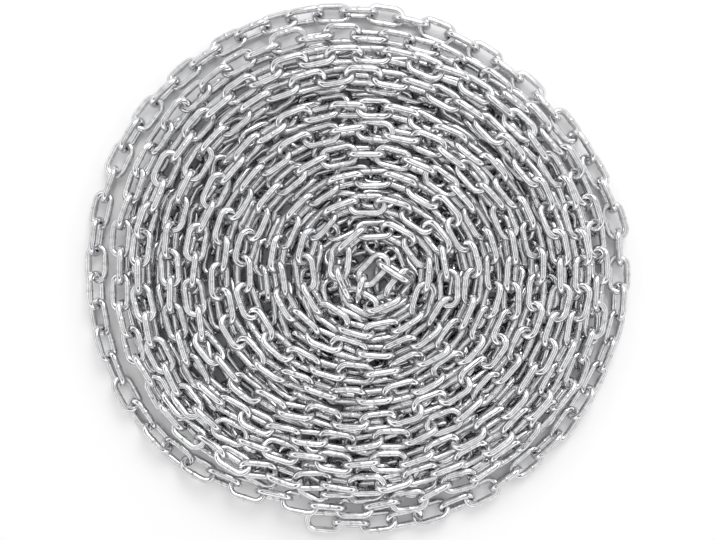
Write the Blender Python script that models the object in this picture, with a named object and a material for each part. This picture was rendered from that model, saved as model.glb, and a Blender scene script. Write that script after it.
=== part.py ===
"""A heap of welded steel chain, coiled flat on a floor in one long spiral.

Metres, +Z up. The origin is on the floor under the middle of the heap.
Each visible turn of the coil is one object. The turns underneath, which nothing
shows, are one plain core.
"""

import math

import bmesh
import bpy
from mathutils import Matrix, Vector

# The chain: 5 mm wire, links 31 by 18 mm over all, laid with a little slack
WIRE = 0.005
LINK_WIDTH = 0.018
PITCH = 0.021
LINK_LENGTH = PITCH + 2 * WIRE
LINK_CORNER = 0.0046
STEP = 0.02045
LOOSE_STEP = 0.0192

# A lying link rests on the side of the standing links that it goes through. Links near
# a turn's ends are moved by up to EASE, so that the end ones hang free in the next turn.
REST_LAP = 0.0003
REST = (LINK_WIDTH - 3 * WIRE) / 2 + REST_LAP
EASE = 0.0008
EASE_LINKS = 16

# How far standing links move in and up, for a radian of the coil in one link
BEND = 0.0031

# The coil: turns side by side, the outermost one on the floor
OUTER_RADIUS = 0.1957
SPACING = 0.0172
TURNS = 10.5
START_BEARING = math.radians(-100)
CROSSING = 0.14
COIL_SHIFT = Vector((0.019, -0.009))
OVAL = 0.0027
OVAL_BEARING = math.radians(-4)
TRILOBE = 0.0025
TRILOBE_BEARING = math.radians(-9)

# Heights of the turns' middles, and the links' lean about the chain's own line
FLOOR_LEAN = math.radians(10)
FLOOR_HEIGHT = (LINK_WIDTH * math.cos(FLOOR_LEAN) + WIRE * math.sin(FLOOR_LEAN) - REST) / 2
TOP_HEIGHT = 0.0255
SLOPE_RUN = 0.043
WELL_RADIUS = 0.045
WELL_DEPTH = 0.004
LEAN = math.radians(29)

# The plain core
CORE_STEPS = 40
CORE_EDGE = 0.028
CORE_DEPTH = 0.0090

FLAT = math.radians(0.1)
STEEL = (0.62, 0.63, 0.64, 1.0)
TAU = 2 * math.pi


def clear_scene():
    for thing in list(bpy.data.objects):
        bpy.data.objects.remove(thing)


def collection(name):
    made = bpy.data.collections.new(name)
    bpy.context.scene.collection.children.link(made)
    return made


def steel(name):
    material = bpy.data.materials.new(name)
    material.use_nodes = True
    shader = material.node_tree.nodes["Principled BSDF"]
    shader.inputs["Base Color"].default_value = STEEL
    shader.inputs["Metallic"].default_value = 1.0
    shader.inputs["Roughness"].default_value = 0.25
    return material


def turn_height(radius):
    """Height of a turn's middle: up the heap's flank, level, then down into the well."""
    run = min(max((OUTER_RADIUS - radius) / SLOPE_RUN, 0.0), 1.0)
    rise = (TOP_HEIGHT - FLOOR_HEIGHT) * math.sin(run * math.pi / 2)
    dip = max(0.0, 1.0 - radius / WELL_RADIUS)
    return FLOOR_HEIGHT + rise - WELL_DEPTH * dip ** 2


def flank_angle(radius):
    rise = turn_height(radius - SPACING / 2) - turn_height(radius + SPACING / 2)
    return math.atan2(rise, SPACING)


def outline(bearing):
    """How far the heap's edge stands out from a circle."""
    oval = OVAL * math.cos(2 * (bearing - OVAL_BEARING))
    return oval + TRILOBE * math.cos(3 * (bearing - TRILOBE_BEARING))


def turn_radius(turn):
    return OUTER_RADIUS - SPACING * turn


def crossing_share(turn):
    """Share of a turn, its last stretch, in which the chain steps in to the next turn."""
    return min(1.0, CROSSING / (TAU * turn_radius(turn)))


def crossing(angle):
    """Share of the step in to the next turn that is done, 0 until a turn's last stretch."""
    turn = math.floor(angle / TAU)
    through = max(0.0, 1.0 - (turn + 1 - angle / TAU) / crossing_share(turn))
    return (1 - math.cos(math.pi * through)) / 2


def coil_radius(angle):
    """Radius of the chain's line: level round each turn, then a step in to the next one."""
    return turn_radius(math.floor(angle / TAU)) - SPACING * crossing(angle)


def coil_point(angle):
    """Point of the chain's line after the coil has gone through angle, from the outside in."""
    radius = coil_radius(angle)
    share = radius / OUTER_RADIUS
    bearing = START_BEARING + angle
    reach = radius + share * outline(bearing)
    flat = reach * Vector((math.cos(bearing), math.sin(bearing))) + (1 - share) * COIL_SHIFT
    return Vector((flat.x, flat.y, turn_height(radius)))


def next_angle(angle, step):
    """Angle at which the coil is one link step further on, measured straight."""
    here = coil_point(angle)
    ahead = angle + step / coil_radius(angle)
    for _ in range(6):
        ahead += (step - (coil_point(ahead) - here).length) / coil_radius(angle)
    return ahead


def coil_turns():
    """Angles of the link joints, one list for each turn, with a looser link between turns."""
    turns = []
    angle = 0.0
    whole = math.floor(TURNS)
    ends = [turn + 1 - crossing_share(turn) for turn in range(whole)] + [TURNS]
    for end in ends:
        joints = [angle]
        while joints[-1] < end * TAU:
            joints.append(next_angle(joints[-1], STEP))
        turns.append(joints)
        angle = joints[-1] - (STEP - LOOSE_STEP) / coil_radius(joints[-1])
    return turns


def link_frame(start, end, lean):
    """Matrix of a link between two joints: X along it, Y across its flat side."""
    along = (coil_point(end) - coil_point(start)).normalized()
    across = Vector((0, 0, 1)).cross(along).normalized()
    up = along.cross(across)
    turn = Matrix((along, across, up)).transposed().to_4x4()
    middle = (coil_point(start) + coil_point(end)) / 2
    return Matrix.Translation(middle) @ turn @ Matrix.Rotation(lean, 4, "X")


def lying_lean(angle):
    """Lean of a lying link: nearly flat on the floor, and laid back on the turns higher up."""
    high = LEAN + flank_angle(coil_radius(angle))
    if angle < TAU:
        return FLOOR_LEAN + (high - FLOOR_LEAN) * crossing(angle)
    return high


def easing(first, number, count):
    """How far up a link moves, so that a turn's end links hang free. Turn 1 is on the floor."""
    if first == 0:
        return 0.0
    start = 1 - 2 * (first % 2)
    end = 2 * ((first + count) % 2) - 1
    near_start = max(0.0, 1.0 - number / EASE_LINKS)
    near_end = max(0.0, 1.0 - (count - 1 - number) / EASE_LINKS)
    return EASE * (start * near_start + end * near_end)


def links(joints, first):
    """Frames of a turn's links, standing and lying in turn. Lying ones are a little lower."""
    frames = []
    for number, (start, end) in enumerate(zip(joints, joints[1:])):
        standing = (first + number) % 2
        rise = (REST if standing else -REST) / 2 + easing(first, number, len(joints) - 1)
        lean = lying_lean((start + end) / 2)
        bend = standing * BEND * (end - start)
        frame = link_frame(start, end, lean)
        frame = frame @ Matrix.Translation((0, bend, rise + bend * math.sin(lean)))
        frames.append(frame @ Matrix.Rotation(standing * math.pi / 2, 4, "X"))
    return frames


def mesh_of_curve(curve):
    """The curve as a mesh with its caps welded on."""
    guide = bpy.data.objects.new("guide", curve)
    bpy.context.scene.collection.objects.link(guide)
    shape = bpy.context.evaluated_depsgraph_get()
    mesh = bpy.data.meshes.new_from_object(guide.evaluated_get(shape))
    bpy.data.objects.remove(guide)
    form = bmesh.new()
    form.from_mesh(mesh)
    bmesh.ops.remove_doubles(form, verts=form.verts, dist=0.00001)
    bmesh.ops.recalc_face_normals(form, faces=form.faces)
    form.to_mesh(mesh)
    form.free()
    return mesh


def add_outline(curve, corners):
    spline = curve.splines.new("POLY")
    spline.points.add(len(corners) - 1)
    for point, (x, y) in zip(spline.points, corners):
        point.co = (x, y, 0, 1)
    spline.use_cyclic_u = True


def link_mesh(standing):
    """One open link of square wire. Its upper corners are cut for its round ends, and a
    lying link's lower ones too."""
    length, width = LINK_LENGTH / 2, LINK_WIDTH / 2
    upper = [(-length, width - LINK_CORNER), (LINK_CORNER - length, width)]
    upper += [(-x, y) for x, y in reversed(upper)]
    lower = [(length, -width), (-length, -width)] if standing else [(-x, -y) for x, y in upper]
    curve = bpy.data.curves.new("link", "CURVE")
    curve.dimensions = "2D"
    curve.fill_mode = "BOTH"
    curve.extrude = WIRE / 2
    add_outline(curve, upper + lower)
    length, width = length - WIRE, width - WIRE
    add_outline(curve, [(length, width), (length, -width), (-length, -width), (-length, width)])
    return mesh_of_curve(curve)


def repeated(name, mesh, frames, group):
    """One object with a copy of the mesh at each frame."""
    form = bmesh.new()
    for frame in frames:
        copy = mesh.copy()
        copy.transform(frame)
        form.from_mesh(copy)
    joined = bpy.data.meshes.new(name)
    form.to_mesh(joined)
    form.free()
    made = bpy.data.objects.new(name, joined)
    group.objects.link(made)
    return made


def hide(cutter):
    cutter.hide_render = True
    cutter.display_type = "WIRE"


def boolean(target, tool, operation):
    modifier = target.modifiers.new(operation.lower(), "BOOLEAN")
    modifier.operation = operation
    modifier.solver = "EXACT"
    modifier.object = tool
    hide(tool)


def merge_flat_faces(thing):
    """Takes out the edges that the union leaves across flat faces."""
    modifier = thing.modifiers.new("flat faces", "DECIMATE")
    modifier.decimate_type = "DISSOLVE"
    modifier.angle_limit = FLAT


def chain_turn(name, joints, first, parts, cutters):
    """A turn of open links, joined where each one rests in the next."""
    frames = links(joints, first)
    lying = first % 2
    turn = repeated(name, link_mesh(False), frames[lying::2], parts)
    standing = repeated(name + "_standing", link_mesh(True), frames[1 - lying::2], cutters)
    boolean(turn, standing, "UNION")
    merge_flat_faces(turn)
    return turn


def core(parts):
    """The turns that nothing shows, as one plain domed core with a flat underside."""
    edge = OUTER_RADIUS - CORE_EDGE
    radii = [WELL_RADIUS * 0.4, WELL_RADIUS * 0.75, WELL_RADIUS]
    radii += [OUTER_RADIUS - SLOPE_RUN, OUTER_RADIUS - SLOPE_RUN * 0.7, edge + CORE_DEPTH / 2]
    form = bmesh.new()
    bottom = form.verts.new((0, 0, 0))
    rings = [ring(form, edge, 0.0)]
    for radius in reversed(radii):
        flank = flank_angle(radius)
        inward = CORE_DEPTH * math.sin(flank)
        rings.append(ring(form, radius - inward, turn_height(radius) - CORE_DEPTH * math.cos(flank)))
    top = form.verts.new((COIL_SHIFT.x, COIL_SHIFT.y, turn_height(0.0) - CORE_DEPTH))
    for loop, following in zip(rings, rings[1:]):
        bridge(form, loop, following)
    fan(form, rings[0], bottom)
    fan(form, rings[-1], top)
    bmesh.ops.recalc_face_normals(form, faces=form.faces)
    mesh = bpy.data.meshes.new("hidden_chain_core")
    form.to_mesh(mesh)
    form.free()
    made = bpy.data.objects.new("hidden_chain_core", mesh)
    parts.objects.link(made)
    return made


def ring(form, radius, height):
    share = radius / OUTER_RADIUS
    loop = []
    for step in range(CORE_STEPS):
        bearing = TAU * step / CORE_STEPS
        reach = radius + share * outline(bearing)
        flat = reach * Vector((math.cos(bearing), math.sin(bearing))) + (1 - share) * COIL_SHIFT
        loop.append(form.verts.new((flat.x, flat.y, height)))
    return loop


def bridge(form, loop, following):
    for side in range(len(loop)):
        after = (side + 1) % len(loop)
        form.faces.new((loop[side], loop[after], following[after], following[side]))


def fan(form, loop, middle):
    for side in range(len(loop)):
        form.faces.new((loop[side], loop[(side + 1) % len(loop)], middle))


def centre_over_origin(things):
    """Move the heap so that the middle of its outline is over the origin."""
    shape = bpy.context.evaluated_depsgraph_get()
    corners = [Vector(corner) for thing in things for corner in thing.evaluated_get(shape).bound_box]
    low = Vector((min(corner.x for corner in corners), min(corner.y for corner in corners), 0))
    high = Vector((max(corner.x for corner in corners), max(corner.y for corner in corners), 0))
    for thing in things:
        thing.data.transform(Matrix.Translation(-(low + high) / 2))


def main():
    clear_scene()
    parts = collection("heap_of_steel_chain")
    cutters = collection("cutters")
    first = 0
    made = [core(parts)]
    for number, joints in enumerate(coil_turns()):
        made.append(chain_turn("chain_turn_%02d" % (number + 1), joints, first, parts, cutters))
        first += len(joints) - 1
    centre_over_origin(made + list(cutters.objects))
    for part in made:
        part.data.materials.append(steel(part.name))


main()
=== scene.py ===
"""The looks of a heap of welded steel chain, coiled flat on a pale floor.

Metres, +Z up, the frame of the solids. One unbroken chain is laid link by link: the
visible coil from its outer end inwards, then a middle layer outwards, then a layer
on the floor inwards. Its links then settle on each other under their own weight.
"""

import math

import bpy
import numpy as np
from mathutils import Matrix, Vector

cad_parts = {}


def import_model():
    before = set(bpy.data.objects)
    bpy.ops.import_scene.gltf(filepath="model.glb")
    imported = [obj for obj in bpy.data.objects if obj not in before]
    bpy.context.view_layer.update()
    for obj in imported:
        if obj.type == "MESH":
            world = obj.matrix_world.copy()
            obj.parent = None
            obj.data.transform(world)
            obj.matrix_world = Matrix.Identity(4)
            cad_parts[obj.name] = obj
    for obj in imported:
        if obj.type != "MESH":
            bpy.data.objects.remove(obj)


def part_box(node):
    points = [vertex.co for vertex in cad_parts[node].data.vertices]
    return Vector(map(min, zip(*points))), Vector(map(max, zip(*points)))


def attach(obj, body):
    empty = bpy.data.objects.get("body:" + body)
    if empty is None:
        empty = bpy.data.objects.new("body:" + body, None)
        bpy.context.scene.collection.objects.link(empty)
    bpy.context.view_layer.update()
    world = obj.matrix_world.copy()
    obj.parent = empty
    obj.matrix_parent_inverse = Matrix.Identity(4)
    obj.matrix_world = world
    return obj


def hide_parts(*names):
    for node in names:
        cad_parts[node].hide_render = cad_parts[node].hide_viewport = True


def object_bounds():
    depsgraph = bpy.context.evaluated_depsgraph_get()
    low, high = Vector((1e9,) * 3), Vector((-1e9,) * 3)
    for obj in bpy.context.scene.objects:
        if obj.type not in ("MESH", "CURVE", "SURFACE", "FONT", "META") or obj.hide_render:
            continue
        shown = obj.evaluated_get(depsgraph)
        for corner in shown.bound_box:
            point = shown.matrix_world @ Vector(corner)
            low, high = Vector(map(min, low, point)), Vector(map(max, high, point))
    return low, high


TAU = 2 * math.pi
TINY = 1e-9

# The chain: 5 mm round wire, links 31 by 18 mm over all, laid with a little slack
WIRE = 0.005
LINK_WIDTH = 0.018
PITCH = 0.021
LINK_LENGTH = PITCH + 2 * WIRE
BEND = (LINK_WIDTH - WIRE) / 2
HALF_BAR = (LINK_LENGTH - LINK_WIDTH) / 2
STEP = 0.02045
LOOSE_STEP = 0.0192

# The visible coil, as in the solids: how it winds
OUTER_RADIUS = 0.1957
SPACING = 0.0172
TURNS = 10.5
ROUNDS = 11
START_BEARING = math.radians(-100)
CROSSING = 0.14
COIL_SHIFT = np.array((0.019, -0.009))
OVAL = 0.0027
OVAL_BEARING = math.radians(-4)
TRILOBE = 0.0025
TRILOBE_BEARING = math.radians(-9)
STEP_TRIES = 6

# The visible coil: how high it lies, and how its links lean
FLOOR_LEAN = math.radians(10)
FLOOR_HEIGHT = 0.0084
TOP_HEIGHT = 0.0255
SLOPE_RUN = 0.043
WELL_RADIUS = 0.045
WELL_DEPTH = 0.004
LEAN = math.radians(29)

# Every second link stands on edge, REST above the others, and a radian of bend in the
# chain moves it in and up by TIGHT_MOVE
REST = 0.0018
TIGHT_MOVE = 0.0031

# The two hidden layers, laid lower than they come to rest, so that they don't tangle
HIDDEN_SPACING = 0.0162
MIDDLE_REACH = 0.1704
MIDDLE_HEIGHT = 0.0140
LOW_REACH = 0.1789
LOW_INNER = 0.014
LOW_HEIGHT = 0.0040
CLIMB_TURNS = 0.8
DROP_TURNS = 0.22
FINE_TURN = 0.0005
HIDDEN_ROLL = math.radians(14)

# How a laid chain wanders and rolls; it rolls the most near the coil's middle
LAY_SEED = 6
WANDER = 0.0017
WANDER_LINKS = 3.0
SLOW_ROLL = math.radians(24)
SLOW_LINKS = 3.0
LINK_ROLL = math.radians(16)
LINK_LIMIT = 1.6
TANGLE = 1.6
TANGLE_REACH = 0.062
BLUR_REACH = 8

# Settling, for links of unit mass, where one step is one unit of time. HOLD and
# TURN_HOLD bring a visible link back to its laid place and turn; TIE acts on taut links
STEPS = 450
GRAVITY = 1.2e-5
STIFFNESS = 0.035
FLOOR_STIFFNESS = 0.07
TIE = 0.1
HOLD = 0.010
TURN_HOLD = 0.006
DRAG = 0.02
DAMPING = 0.92
FLOOR_GRIP = 0.8
GYRATION = 0.009
TOP_SPEED = 0.0005
TOP_SPIN = 0.04
NEAR = 0.0016
SEARCH_EVERY = 8
SQUARE_EVERY = 25
FEELERS = 24
FINE_FEELERS = 96
SPARE_CELLS = 3
BOX_MARGIN = 0.0004
FLOOR_CLEAR = 0.0003

# Meshes: steps round a bend, sides of the wire, and the weld bead
SHOWN_BEND_STEPS = 10
SHOWN_SIDES = 12
HIDDEN_BEND_STEPS = 7
HIDDEN_SIDES = 9
WELD_RISE = 0.0003
WELD_HALF = 0.0017
WELD_STATIONS = (-1.4, -1.0, -0.6, 0.0, 0.6, 1.0, 1.4)
MESH_SEED = 11
GRAIN_SHIFT = 10

# Camera: straight above, as the photo was taken, with the sensor in millimetres
IMAGE_WIDTH = 716
PIXELS_PER_METRE = 1300
CAMERA_HEIGHT = 0.70
CAMERA_AIM = (0.0004, -0.0015)
SENSOR = 36

# Steel: colours, and how far shade and weld show in them
DARK_STEEL = (0.60, 0.60, 0.61, 1.0)
LIGHT_STEEL = (0.88, 0.88, 0.89, 1.0)
SHADED_STEEL = (0.50, 0.50, 0.52, 1.0)
WELD_STEEL = (0.45, 0.45, 0.46, 1.0)
TONE_SPREAD = 0.35
WELD_SPREAD = 0.5

# Steel: noise sizes in waves a metre, and how drawn lines and blotches mix into marks
DRAWN_STRETCH = (0.08, 1.0, 1.0)
DRAWN_SCALE = 2600.0
DRAWN_DETAIL = 3.0
BLOTCH_SCALE = 240.0
BLOTCH_DETAIL = 4.0
DENT_SCALE = 700.0
DENT_DETAIL = 2.0
DRAWN_SHARE = 0.4
BLOTCH_SHARE = 0.6

# Steel: the marks' range that spans the colours and the roughness, and the bump
COLOUR_MARKS = (0.35, 0.65)
ROUGH_MARKS = (0.3, 0.7)
ROUGH_LOW = 0.08
ROUGH_HIGH = 0.20
WELD_ROUGH = 0.12
DRAWN_BUMP = 0.35
BUMP_STRENGTH = 0.35
BUMP_DEPTH = 0.00012

# Studio: floor, a tent of light as (height, grey level) stops, and one soft box
FLOOR_SIZE = 8.0
FLOOR_COLOUR = (0.90, 0.90, 0.90, 1.0)
FLOOR_ROUGHNESS = 0.6
BACKDROP = (0.90, 0.90, 0.90, 1.0)
TENT_STRENGTH = 1.35
TENT = (
    (0.0, 0.10),
    (0.08, 0.12),
    (0.22, 1.05),
    (0.58, 1.15),
    (0.66, 0.14),
    (0.80, 0.14),
    (0.87, 0.80),
    (1.0, 0.72),
)
SOFT_BOX_PLACE = (0.3, 1.0, 1.2)
SOFT_BOX_SIZE = 0.8
SOFT_BOX_POWER = 10.0

# A Mix node's colour sockets, which share their names with its number sockets
MIX_FIRST = 6
MIX_SECOND = 7
MIX_RESULT = 2


def turn_height(radius):
    """Height of the visible coil's line: up the flank, level, then down into the well."""
    run = min(max((OUTER_RADIUS - radius) / SLOPE_RUN, 0.0), 1.0)
    dip = max(0.0, 1.0 - radius / WELL_RADIUS)
    rise = (TOP_HEIGHT - FLOOR_HEIGHT) * math.sin(run * math.pi / 2)
    return FLOOR_HEIGHT + rise - WELL_DEPTH * dip**2


def flank_angle(radius):
    """How steeply the coil rises inwards at a radius."""
    rise = turn_height(radius - SPACING / 2) - turn_height(radius + SPACING / 2)
    return math.atan2(rise, SPACING)


def turn_radius(turn):
    return OUTER_RADIUS - SPACING * turn


def crossing_share(turn):
    """Share of a turn, its last stretch, in which the chain steps in to the next turn."""
    return min(1.0, CROSSING / (TAU * turn_radius(turn)))


def crossing(angle):
    """Share of the step in to the next turn that is done."""
    turn = math.floor(angle / TAU)
    through = max(0.0, 1.0 - (turn + 1 - angle / TAU) / crossing_share(turn))
    return (1 - math.cos(math.pi * through)) / 2


def coil_radius(angle):
    return turn_radius(math.floor(angle / TAU)) - SPACING * crossing(angle)


def heap_point(bearing, radius, height):
    """The point at a bearing and radius on the heap, whose outline isn't quite round."""
    oval = OVAL * math.cos(2 * (bearing - OVAL_BEARING))
    trilobe = TRILOBE * math.cos(3 * (bearing - TRILOBE_BEARING))
    share = radius / OUTER_RADIUS
    reach = radius + share * (oval + trilobe)
    flat = reach * np.array((math.cos(bearing), math.sin(bearing))) + (1 - share) * COIL_SHIFT
    return np.array((flat[0], flat[1], height))


def coil_point(angle):
    radius = coil_radius(angle)
    return heap_point(START_BEARING + angle, radius, turn_height(radius))


def next_angle(angle):
    """Angle at which the visible coil is one link step further on."""
    ahead = angle + STEP / coil_radius(angle)
    for _ in range(STEP_TRIES):
        gap = np.linalg.norm(coil_point(ahead) - coil_point(angle))
        ahead += (STEP - gap) / coil_radius(angle)
    return ahead


def coil_turns():
    """Angles of the visible coil's joints, one list for each turn."""
    turns = []
    angle = 0.0
    ends = [turn + 1 - crossing_share(turn) for turn in range(ROUNDS - 1)] + [TURNS]
    for end in ends:
        joints = [angle]
        while joints[-1] < end * TAU:
            joints.append(next_angle(joints[-1]))
        turns.append(joints)
        angle = joints[-1] - (STEP - LOOSE_STEP) / coil_radius(joints[-1])
    return turns


def hidden_knots():
    """Turn, radius and height at each place where the hidden chain changes layer."""
    inner = coil_radius(TURNS * TAU)
    climbed = TURNS + CLIMB_TURNS
    middle_end = TURNS + (MIDDLE_REACH - inner) / HIDDEN_SPACING
    low_start = middle_end + DROP_TURNS
    low_end = low_start + (LOW_REACH - LOW_INNER) / HIDDEN_SPACING
    return (
        (TURNS, inner, turn_height(inner)),
        (climbed, inner + HIDDEN_SPACING * CLIMB_TURNS, MIDDLE_HEIGHT),
        (middle_end, MIDDLE_REACH, MIDDLE_HEIGHT),
        (low_start, LOW_REACH, LOW_HEIGHT),
        (low_end, LOW_INNER, LOW_HEIGHT),
    )


def hidden_joints(joint):
    """Points one link apart on through the hidden layers, and the turn at each."""
    knots = hidden_knots()
    knot_turns, knot_radii, knot_heights = zip(*knots)
    joints = [joint]
    joint_turns = [TURNS]
    for turn in np.arange(TURNS, knots[-1][0], FINE_TURN):
        radius = np.interp(turn, knot_turns, knot_radii)
        height = np.interp(turn, knot_turns, knot_heights)
        point = heap_point(START_BEARING + TAU * turn, radius, height)
        if np.linalg.norm(point - joints[-1]) >= STEP:
            joints.append(point)
            joint_turns.append(turn)
    return joints, joint_turns


def visible_links():
    """Start, end, lean, bend and round of each link of the visible coil."""
    links = []
    for turn, joints in enumerate(coil_turns()):
        for start, end in zip(joints, joints[1:]):
            middle = (start + end) / 2
            lean = LEAN + flank_angle(coil_radius(middle))
            if middle < TAU:
                lean = FLOOR_LEAN + (lean - FLOOR_LEAN) * crossing(middle)
            links.append((coil_point(start), coil_point(end), lean, end - start, turn + 1))
    return links


def laid_links():
    """Start, end, lean, bend and round of every link: 1 to 11 visible, 12 and 13 hidden."""
    links = visible_links()
    knots = hidden_knots()
    # Halfway through the drop from the middle layer to the lowest
    drop = (knots[2][0] + knots[3][0]) / 2
    joints, joint_turns = hidden_joints(links[-1][1])
    for start, end, turn in zip(joints, joints[1:], joint_turns):
        links.append((start, end, HIDDEN_ROLL, 0.0, ROUNDS + 1 + (turn > drop)))
    return [np.array(column) for column in zip(*links)]


def unit(vectors):
    return vectors / np.linalg.norm(vectors, axis=-1, keepdims=True)


def smoothed(values, links):
    """Values blurred over a few links, at the same spread."""
    window = np.exp(-0.5 * (np.arange(-BLUR_REACH, BLUR_REACH + 1) / links) ** 2)
    return np.convolve(values, window / np.sqrt((window**2).sum()), "same")


def laid_chain():
    """Each link's middle, its direction, two directions across it, its roll and its round."""
    starts, ends, leans, tight, rounds = laid_links()
    standing = np.arange(len(starts)) % 2
    along = unit(ends - starts)
    level = unit(np.cross((0.0, 0.0, 1.0), along))
    upright = np.cross(along, level)
    middles = (starts + ends) / 2
    inward = level * np.cos(leans)[:, None] + upright * np.sin(leans)[:, None]
    face = np.cross(along, inward)
    move = standing * TIGHT_MOVE * tight
    middles = middles + inward * move[:, None]
    middles += face * (move * np.sin(leans) + REST * (standing - 0.5))[:, None]
    return middles, along, level, upright, leans + standing * math.pi / 2, rounds


def rolled(along, level, upright, roll):
    """Each link's axes as columns: along it, across it in its plane, and off its plane."""
    across = level * np.cos(roll)[:, None] + upright * np.sin(roll)[:, None]
    return np.stack((along, across, np.cross(along, across)), axis=2)


def disorder(middles, roll, random):
    """The same chain with each stretch a little to one side and each link turned a little."""
    count = len(roll)
    outwards = middles[:, :2] - COIL_SHIFT
    reach = np.linalg.norm(outwards, axis=1)
    tangle = 1 + TANGLE * np.clip(1 - reach / TANGLE_REACH, 0, None)
    aside = WANDER * smoothed(random.normal(size=count), WANDER_LINKS)
    middles = middles.copy()
    middles[:, :2] += outwards * (aside / reach)[:, None]
    turned = tangle * SLOW_ROLL * smoothed(random.normal(size=count), SLOW_LINKS)
    turned += LINK_ROLL * np.clip(random.normal(size=count), -LINK_LIMIT, LINK_LIMIT)
    return middles, roll + turned


def centre_line(count):
    """Evenly spaced points on the middle of a link's wire, in the link's own axes."""
    length = 4 * HALF_BAR + TAU * BEND
    points = []
    for index in range(count):
        run = index * length / count
        side, rest = divmod(run, length / 2)
        sign = 1 - 2 * side
        if rest < 2 * HALF_BAR:
            point = (rest - HALF_BAR, -BEND)
        else:
            angle = (rest - 2 * HALF_BAR) / BEND
            point = (HALF_BAR + BEND * math.sin(angle), -BEND * math.cos(angle))
        points.append((sign * point[0], sign * point[1], 0.0))
    return np.array(points, np.float32)


def wire_points(line, middles, frames):
    """The points of a centre line on each link, in the heap's frame."""
    return middles[:, None, :] + np.matmul(line[None], frames.transpose(0, 2, 1))


def neighbours(middles, reach):
    """Pairs of links whose middles are within reach, found on a grid."""
    cell = np.floor(middles / reach).astype(np.int64)
    cell -= cell.min(0)
    size = cell.max(0) + SPARE_CELLS
    key = (cell[:, 0] * size[1] + cell[:, 1]) * size[2] + cell[:, 2]
    order = np.argsort(key, kind="stable")
    ranked = key[order]
    steps = np.array(np.meshgrid((-1, 0, 1), (-1, 0, 1), (-1, 0, 1))).reshape(3, -1).T
    found = []
    for step in steps:
        wanted = key + (step[0] * size[1] + step[1]) * size[2] + step[2]
        low = np.searchsorted(ranked, wanted, "left")
        count = np.searchsorted(ranked, wanted, "right") - low
        first = np.repeat(np.arange(len(middles)), count)
        place = np.arange(count.sum()) - np.repeat(np.cumsum(count) - count, count)
        second = order[np.repeat(low, count) + place]
        found.append(np.stack((first, second), 1)[first < second])
    pairs = np.concatenate(found)
    gap = np.linalg.norm(middles[pairs[:, 0]] - middles[pairs[:, 1]], axis=1)
    return pairs[gap < reach]


def wire_gap(points, middles, frames):
    """For points near each link: its wire's direction outwards, and how far its middle is."""
    local = np.matmul(points - middles[:, None, :], frames)
    x = local[..., 0] - np.clip(local[..., 0], -HALF_BAR, HALF_BAR)
    y = local[..., 1]
    z = local[..., 2]
    bend = np.sqrt(x * x + y * y) + np.float32(TINY)
    over = bend - np.float32(BEND)
    gap = np.sqrt(over * over + z * z) + np.float32(TINY)
    outwards = np.stack((over * x / bend, over * y / bend, z), -1) / gap[..., None]
    return outwards, gap


def close_pairs(middles, frames, feelers):
    """Pairs of links that touch or nearly touch, each pair both ways round."""
    pairs = neighbours(middles, np.float32(LINK_LENGTH + NEAR / 2))
    gap = wire_gap(feelers[pairs[:, 0]], middles[pairs[:, 1]], frames[pairs[:, 1]])[1]
    pairs = pairs[gap.min(1) < WIRE + NEAR]
    return np.concatenate((pairs, pairs[:, ::-1]))


def summed(index, values, count):
    """The vectors added up for each of count links, by the link that each belongs to."""
    return np.stack([np.bincount(index, values[:, axis], count) for axis in range(3)], 1)


def contact_push(middles, frames, feelers, pairs, speed, spin):
    """Force and turning moment on each link from the links that it presses on."""
    outwards, gap = wire_gap(feelers[pairs[:, 0]], middles[pairs[:, 1]], frames[pairs[:, 1]])
    which, feeler = np.nonzero(gap < WIRE)
    first = pairs[which, 0]
    second = pairs[which, 1]
    gap = gap[which, feeler]
    outwards = np.einsum("nij,nj->ni", frames[second], outwards[which, feeler])
    point = feelers[first, feeler] - outwards * (gap / 2)[:, None]
    first_arm = point - middles[first]
    second_arm = point - middles[second]
    slide = speed[first] + np.cross(spin[first], first_arm)
    slide -= speed[second] + np.cross(spin[second], second_arm)
    slide -= (slide * outwards).sum(1)[:, None] * outwards
    push = outwards * (STIFFNESS * (WIRE - gap))[:, None] - DRAG * slide
    count = len(middles)
    force = summed(first, push, count) - summed(second, push, count)
    moment = summed(first, np.cross(first_arm, push), count)
    moment -= summed(second, np.cross(second_arm, push), count)
    return force, moment


def wall_push(middles, feelers, lowest, highest):
    """Force and moment from the floor and the box's sides, and which links are on the floor."""
    depth = np.clip(lowest - feelers, 0, None) - np.clip(feelers - highest, 0, None)
    push = FLOOR_STIFFNESS * depth
    force = push.sum(1)
    moment = np.cross(feelers - middles[:, None], push).sum(1)
    return force, moment, depth[..., 2].max(1) > 0


def tie_pull(middles):
    """Force on each link from the next ones, where the chain between them is taut."""
    gap = np.diff(middles, axis=0)
    length = np.linalg.norm(gap, axis=1)
    pull = gap * (TIE * np.clip(length - STEP, 0, None) / length)[:, None]
    force = np.zeros_like(middles)
    force[:-1] += pull
    force[1:] -= pull
    return force


def capped(vectors, most):
    """The vectors, with any longer than most cut to that length."""
    size = np.linalg.norm(vectors, axis=1)
    return vectors * np.minimum(1, most / np.maximum(size, TINY))[:, None]


def spun(frames, spin):
    """Frames turned by small rotation vectors."""
    angle = np.maximum(np.linalg.norm(spin, axis=1), TINY)
    axis = (spin / angle[:, None])[:, :, None]
    sine = np.sin(angle)[:, None, None]
    cosine = np.cos(angle)[:, None, None]
    kept = (axis * frames).sum(1, keepdims=True) * axis
    return frames * cosine + np.cross(axis, frames, axis=1) * sine + kept * (1 - cosine)


def squared(frames):
    """Frames with their axes made square to each other again."""
    along = unit(frames[:, :, 0])
    across = frames[:, :, 1]
    across = unit(across - (across * along).sum(1)[:, None] * along)
    return np.stack((along, across, np.cross(along, across)), 2)


def turn_back(frames, laid_frames):
    """The turn that would bring each link back to how it was laid."""
    return np.cross(frames, laid_frames, axis=1).sum(2) / 2


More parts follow.
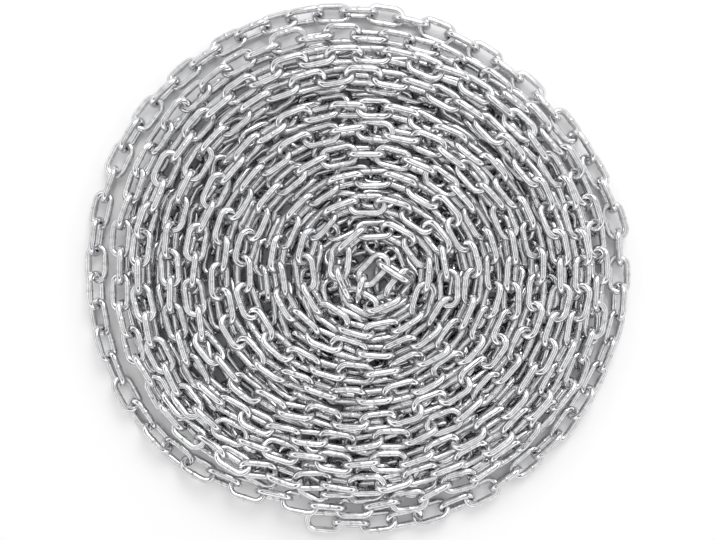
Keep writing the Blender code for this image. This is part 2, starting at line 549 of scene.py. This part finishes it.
def within(middles, frames, lowest, highest):
    """The middles, with any link that still reaches past the box moved back inside it."""
    reach = wire_points(centre_line(FINE_FEELERS), middles, frames)
    middles = middles + np.clip(lowest - reach.min(1), 0, None)
    return middles - np.clip(reach.max(1) - highest, 0, None)


def settled(middles, frames, rounds, box):
    """The links at rest on each other, the visible ones held near where they were laid."""
    inset = WIRE / 2 + BOX_MARGIN
    lowest = np.array((box[0][0] + inset, box[0][1] + inset, WIRE / 2 + FLOOR_CLEAR), np.float32)
    highest = np.array(box[1], np.float32) - np.float32(inset)
    line = centre_line(FEELERS)
    middles = middles.astype(np.float32)
    frames = frames.astype(np.float32)
    laid_middles = middles
    laid_frames = frames
    shown = (rounds <= ROUNDS)[:, None]
    speed = np.zeros_like(middles)
    spin = np.zeros_like(middles)
    for step in range(STEPS):
        feelers = wire_points(line, middles, frames)
        if step % SEARCH_EVERY == 0:
            pairs = close_pairs(middles, frames, feelers)
        force, moment = contact_push(middles, frames, feelers, pairs, speed, spin)
        wall_force, wall_moment, on_floor = wall_push(middles, feelers, lowest, highest)
        moment += wall_moment + TURN_HOLD * GYRATION**2 * shown * turn_back(frames, laid_frames)
        force += wall_force + tie_pull(middles) + HOLD * shown * (laid_middles - middles)
        force[:, 2] -= GRAVITY
        speed = capped((speed + force) * DAMPING, TOP_SPEED)
        speed[on_floor, :2] *= FLOOR_GRIP
        spin = capped((spin + moment / GYRATION**2) * DAMPING, TOP_SPIN)
        speed = speed.astype(np.float32)
        spin = spin.astype(np.float32)
        middles = middles + speed
        frames = spun(frames, spin).astype(np.float32)
        if step % SQUARE_EVERY == SQUARE_EVERY - 1:
            frames = squared(frames)
    return within(middles, frames, lowest, highest), frames


def centring(middles, frames, rounds):
    """The shift that centres the outermost round on its solid."""
    outer = rounds == 1
    reach = wire_points(centre_line(FINE_FEELERS), middles[outer], frames[outer])
    lowest, highest = np.array(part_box("chain_turn_01"))
    return ((lowest + highest - reach.min((0, 1)) - reach.max((0, 1))) / 2)[:2]


def bar_and_bends(bend_steps, welded):
    """A link's wire: middle points, outward directions, weld share and run along it."""
    places = []
    directions = []
    if welded:
        for share in WELD_STATIONS:
            places.append((share * WELD_HALF, -BEND))
            directions.append((0.0, -1.0))
    for side in (1, -1):
        for step in range(bend_steps + 1):
            angle = math.pi * (step / bend_steps - side / 2)
            direction = (math.cos(angle), math.sin(angle))
            places.append((side * HALF_BAR + BEND * direction[0], BEND * direction[1]))
            directions.append(direction)
    places = np.array(places)
    away = np.abs(places[:, 0]) / WELD_HALF
    bead = (1 + np.cos(math.pi * np.minimum(away, 1))) / 2
    weld = np.where(places[:, 1] < 0, bead, 0.0) * welded
    run = np.concatenate(([0.0], np.cumsum(np.linalg.norm(np.diff(places, axis=0), axis=1))))
    return places, np.array(directions), weld, run


def link_shape(bend_steps, sides, welded):
    """Corners and faces of one link, each corner's place on the unrolled wire, and weld share."""
    places, directions, weld, run = bar_and_bends(bend_steps, welded)
    around = TAU * np.arange(sides) / sides
    radius = WIRE / 2 + WELD_RISE * weld
    out = radius[:, None] * np.cos(around)
    up = radius[:, None] * np.sin(around)
    corners = np.empty((len(places), sides, 3))
    corners[..., 0] = places[:, None, 0] + out * directions[:, None, 0]
    corners[..., 1] = places[:, None, 1] + out * directions[:, None, 1]
    corners[..., 2] = up
    unrolled = np.stack((np.broadcast_to(run[:, None], out.shape), out, up), -1)
    station = np.arange(len(places))[:, None] * sides
    side = np.arange(sides)[None]
    after = (station + sides) % (len(places) * sides)
    beside = (side + 1) % sides
    faces = np.stack((station + side, after + side, after + beside, station + beside), -1)
    weld = np.repeat(weld, sides)
    return corners.reshape(-1, 3), faces.reshape(-1, 4), unrolled.reshape(-1, 3), weld


def mixed_ends(count, random):
    """Half turns that put each link's weld on either of its long sides."""
    ends = random.choice((-1.0, 1.0), size=(count, 2))
    return np.column_stack((ends, ends[:, 0] * ends[:, 1]))


def chain_mesh(name, shape, middles, frames, random):
    """One mesh of many links, with what the steel's grain needs as attributes."""
    corners, faces, unrolled, weld = shape
    count = len(middles)
    turned = corners[None] * mixed_ends(count, random)[:, None]
    world = middles[:, None] + np.matmul(turned, frames.transpose(0, 2, 1))
    all_faces = faces[None] + np.arange(count)[:, None, None] * len(corners)
    mesh = bpy.data.meshes.new(name)
    mesh.from_pydata(world.reshape(-1, 3).tolist(), [], all_faces.reshape(-1, 4).tolist())
    mesh.shade_smooth()
    grain = unrolled[None] + random.uniform(0, GRAIN_SHIFT, size=(count, 1, 3))
    tone = np.repeat(random.uniform(0, 1, size=count), len(corners))
    attributes = (
        ("grain", "FLOAT_VECTOR", "vector", grain.ravel()),
        ("tone", "FLOAT", "value", tone),
        ("weld", "FLOAT", "value", np.tile(weld, count)),
    )
    for label, kind, field, values in attributes:
        mesh.attributes.new(label, kind, "POINT").data.foreach_set(field, values.astype(np.float32))
    return mesh


def add_piece(mesh, material):
    mesh.materials.append(material)
    piece = bpy.data.objects.new(mesh.name, mesh)
    bpy.context.scene.collection.objects.link(piece)
    return piece


def build_pieces(middles, frames, rounds):
    """Each visible round and each hidden layer as a piece of its own."""
    random = np.random.default_rng(MESH_SEED)
    steel = bright_steel()
    shown = link_shape(SHOWN_BEND_STEPS, SHOWN_SIDES, True)
    hidden = link_shape(HIDDEN_BEND_STEPS, HIDDEN_SIDES, False)
    pieces = [
        (f"chain_round_{number:02d}", f"chain_turn_{number:02d}", "chain_steel", shown)
        for number in range(1, ROUNDS + 1)
    ]
    pieces.append(("middle_chain_layer", "hidden_chain_core", "hidden_steel", hidden))
    pieces.append(("lowest_chain_layer", "hidden_chain_core", "hidden_steel", hidden))
    for number, (name, node, slot, shape) in enumerate(pieces, 1):
        here = rounds == number
        piece = add_piece(chain_mesh(name, shape, middles[here], frames[here], random), steel)
        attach(piece, "root")
        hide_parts(node)


class Shader:
    """Short calls for building a node tree."""

    def __init__(self, tree):
        self.tree = tree
        tree.nodes.clear()

    def add(self, kind, inputs=None, **settings):
        made = self.tree.nodes.new(kind)
        for name, value in settings.items():
            setattr(made, name, value)
        for name, value in (inputs or {}).items():
            self.feed(made.inputs[name], value)
        return made

    def feed(self, socket, value):
        if isinstance(value, bpy.types.NodeSocket):
            self.tree.links.new(value, socket)
        else:
            socket.default_value = value

    def attribute(self, name, output):
        return self.add("ShaderNodeAttribute", attribute_name=name).outputs[output]

    def noise(self, place, scale, detail):
        made = self.add("ShaderNodeTexNoise", {"Vector": place, "Scale": scale, "Detail": detail})
        return made.outputs["Fac"]

    def spread(self, value, from_range, to_range):
        made = self.add("ShaderNodeMapRange", {
            "Value": value, "From Min": from_range[0], "From Max": from_range[1],
            "To Min": to_range[0], "To Max": to_range[1]})
        return made.outputs["Result"]

    def maths(self, operation, first, second):
        made = self.add("ShaderNodeMath", operation=operation)
        self.feed(made.inputs[0], first)
        self.feed(made.inputs[1], second)
        return made.outputs[0]

    def times(self, first, second):
        return self.maths("MULTIPLY", first, second)

    def blend(self, share, first, second):
        made = self.add("ShaderNodeMix", data_type="RGBA")
        self.feed(made.inputs["Factor"], share)
        self.feed(made.inputs[MIX_FIRST], first)
        self.feed(made.inputs[MIX_SECOND], second)
        return made.outputs[MIX_RESULT]


def bright_steel():
    """Drawn and plated steel wire: fine lines along it, blotches, small dents, dull welds."""
    material = bpy.data.materials.new("bright_chain_steel")
    material.use_nodes = True
    shader = Shader(material.node_tree)
    grain = shader.attribute("grain", "Vector")
    tone = shader.attribute("tone", "Fac")
    weld = shader.attribute("weld", "Fac")
    stretched = shader.add("ShaderNodeMapping", {"Vector": grain, "Scale": DRAWN_STRETCH})
    drawn = shader.noise(stretched.outputs["Vector"], DRAWN_SCALE, DRAWN_DETAIL)
    blotch = shader.noise(grain, BLOTCH_SCALE, BLOTCH_DETAIL)
    dents = shader.noise(grain, DENT_SCALE, DENT_DETAIL)
    marks = shader.maths("ADD", shader.times(drawn, DRAWN_SHARE), shader.times(blotch, BLOTCH_SHARE))
    colour = shader.blend(shader.spread(marks, COLOUR_MARKS, (0.0, 1.0)), DARK_STEEL, LIGHT_STEEL)
    colour = shader.blend(shader.times(tone, TONE_SPREAD), colour, SHADED_STEEL)
    colour = shader.blend(shader.times(weld, WELD_SPREAD), colour, WELD_STEEL)
    rough = shader.spread(marks, ROUGH_MARKS, (ROUGH_HIGH, ROUGH_LOW))
    rough = shader.maths("ADD", rough, shader.times(weld, WELD_ROUGH))
    height = shader.maths("ADD", shader.times(drawn, DRAWN_BUMP), dents)
    bump = shader.add("ShaderNodeBump", {
        "Height": height, "Strength": BUMP_STRENGTH, "Distance": BUMP_DEPTH})
    surface = shader.add("ShaderNodeBsdfPrincipled", {
        "Base Color": colour, "Metallic": 1.0, "Roughness": rough, "Normal": bump.outputs["Normal"]})
    shader.add("ShaderNodeOutputMaterial", {"Surface": surface.outputs["BSDF"]})
    return material


def make_floor():
    """A wide plain floor, which isn't part of the heap."""
    mesh = bpy.data.meshes.new("studio_floor")
    edge = FLOOR_SIZE / 2
    corners = [(-edge, -edge, 0), (edge, -edge, 0), (edge, edge, 0), (-edge, edge, 0)]
    mesh.from_pydata(corners, [], [(0, 1, 2, 3)])
    material = bpy.data.materials.new("pale_floor")
    material.use_nodes = True
    shader = Shader(material.node_tree)
    surface = shader.add("ShaderNodeBsdfPrincipled", {
        "Base Color": FLOOR_COLOUR, "Roughness": FLOOR_ROUGHNESS})
    shader.add("ShaderNodeOutputMaterial", {"Surface": surface.outputs["BSDF"]})
    add_piece(mesh, material)


def grey(level):
    return (level, level, level, 1.0)


def make_world():
    """A tent of light: dark at the horizon, a wide bright band, a dark ring and a pale top."""
    world = bpy.data.worlds.new("studio")
    bpy.context.scene.world = world
    world.use_nodes = True
    shader = Shader(world.node_tree)
    place = shader.add("ShaderNodeTexCoord").outputs["Generated"]
    height = shader.add("ShaderNodeSeparateXYZ", {"Vector": place}).outputs["Z"]
    ramp = shader.add("ShaderNodeValToRGB", {"Fac": height})
    stops = ramp.color_ramp.elements
    stops.remove(stops[-1])
    stops[0].position = TENT[0][0]
    stops[0].color = grey(TENT[0][1])
    for position, level in TENT[1:]:
        stops.new(position).color = grey(level)
    seen = shader.add("ShaderNodeLightPath").outputs["Is Camera Ray"]
    colour = shader.blend(seen, ramp.outputs["Color"], BACKDROP)
    background = shader.add("ShaderNodeBackground", {"Color": colour, "Strength": TENT_STRENGTH})
    shader.add("ShaderNodeOutputWorld", {"Surface": background.outputs["Background"]})


def make_light():
    """One soft box, behind and above the heap."""
    light = bpy.data.lights.new("back_box", "AREA")
    light.size = SOFT_BOX_SIZE
    light.energy = SOFT_BOX_POWER
    box = bpy.data.objects.new("back_box", light)
    box.location = SOFT_BOX_PLACE
    box.rotation_euler = (-Vector(SOFT_BOX_PLACE)).to_track_quat("-Z", "Y").to_euler()
    bpy.context.scene.collection.objects.link(box)


def make_camera():
    """A camera that looks straight down, at the photograph's scale on the floor."""
    camera = bpy.data.cameras.new("camera")
    camera.sensor_width = SENSOR
    camera.lens = SENSOR * CAMERA_HEIGHT * PIXELS_PER_METRE / IMAGE_WIDTH
    holder = bpy.data.objects.new("camera", camera)
    holder.location = (*CAMERA_AIM, CAMERA_HEIGHT)
    bpy.context.scene.collection.objects.link(holder)
    bpy.context.scene.camera = holder
    bpy.context.scene.view_settings.view_transform = "Standard"


def main():
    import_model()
    cad_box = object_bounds()
    random = np.random.default_rng(LAY_SEED)
    middles, along, level, upright, roll, rounds = laid_chain()
    middles[:, :2] += centring(middles, rolled(along, level, upright, roll), rounds)
    middles, roll = disorder(middles, roll, random)
    frames = rolled(along, level, upright, roll)
    middles, frames = settled(middles, frames, rounds, cad_box)
    build_pieces(middles, frames, rounds)
    make_floor()
    make_world()
    make_light()
    make_camera()


main()
